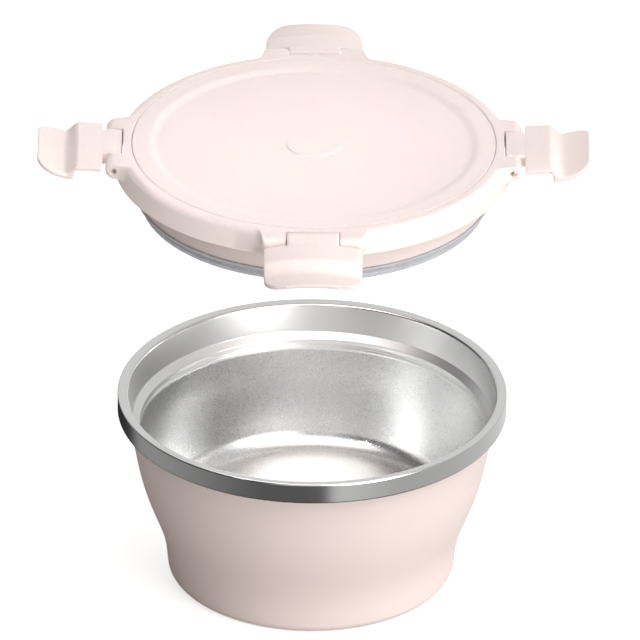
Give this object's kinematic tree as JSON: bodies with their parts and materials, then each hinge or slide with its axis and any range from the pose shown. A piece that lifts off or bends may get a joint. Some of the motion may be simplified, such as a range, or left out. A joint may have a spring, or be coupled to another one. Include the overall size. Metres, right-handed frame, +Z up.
{
  "type": "insulated bowl with lid",
  "caption": "Double-walled steel bowl, coated outside, with a bare band at its rim and a lift-off insulated lid held by hinged clips.",
  "frame": {"origin": "centre of the bowl's base, on the table under the ring that the bowl stands on", "axes": "+Z up the bowl's axis, +Y away from the viewer towards the back clip, +X towards the right clip"},
  "size_m": [0.2394, 0.2393, 0.2101],
  "materials": {
    "liner_steel": "tumbled satin",
    "pink_coat": "matte powder coat",
    "bottom_steel": "spun",
    "seal_bead": "dull",
    "getter_metal": "sintered",
    "pink_plastic": "satin moulded",
    "foam": "fine-celled foam",
    "silicone": "translucent satin",
    "pin_steel": "drawn wire"
  },
  "bodies": {
    "bowl": {"inner_liner": "liner_steel", "outer_shell": "pink_coat", "outer_bottom": "bottom_steel", "vacuum_seal": "seal_bead", "getter": "getter_metal", "base_cover": "bottom_steel"},
    "lid": {"lid_ring": "pink_plastic", "lid_panel": "pink_plastic", "centre_cap": "pink_plastic", "lid_core": "foam", "lid_plug": "pink_plastic", "lid_seal": "silicone", "hinge_pin_front": "pin_steel", "hinge_pin_back": "pin_steel", "hinge_pin_left": "pin_steel", "hinge_pin_right": "pin_steel"},
    "front_clip": {"clip_front": "pink_plastic"},
    "back_clip": {"clip_back": "pink_plastic"},
    "left_clip": {"clip_left": "pink_plastic"},
    "right_clip": {"clip_right": "pink_plastic"}
  },
  "joints": [
    {"name": "lid_lift", "type": "slide", "parent": "bowl", "child": "lid", "axis": [0, 0, 1], "range_m": [-0.1119, 0]},
    {"name": "right_clip_hinge", "type": "hinge", "parent": "lid", "child": "right_clip", "pos_m": [0.0865, 0, 0.2057], "axis": [0, -1, 0], "range_deg": [-93, 12]},
    {"name": "back_clip_hinge", "type": "hinge", "parent": "lid", "child": "back_clip", "pos_m": [0, 0.0865, 0.2057], "axis": [1, 0, 0], "range_deg": [-86, 19]},
    {"name": "left_clip_hinge", "type": "hinge", "parent": "lid", "child": "left_clip", "pos_m": [-0.0865, 0, 0.2057], "axis": [0, 1, 0], "range_deg": [-93, 12]},
    {"name": "front_clip_hinge", "type": "hinge", "parent": "lid", "child": "front_clip", "pos_m": [0, -0.0865, 0.2057], "axis": [-1, 0, 0], "range_deg": [-83, 22]}
  ]
}
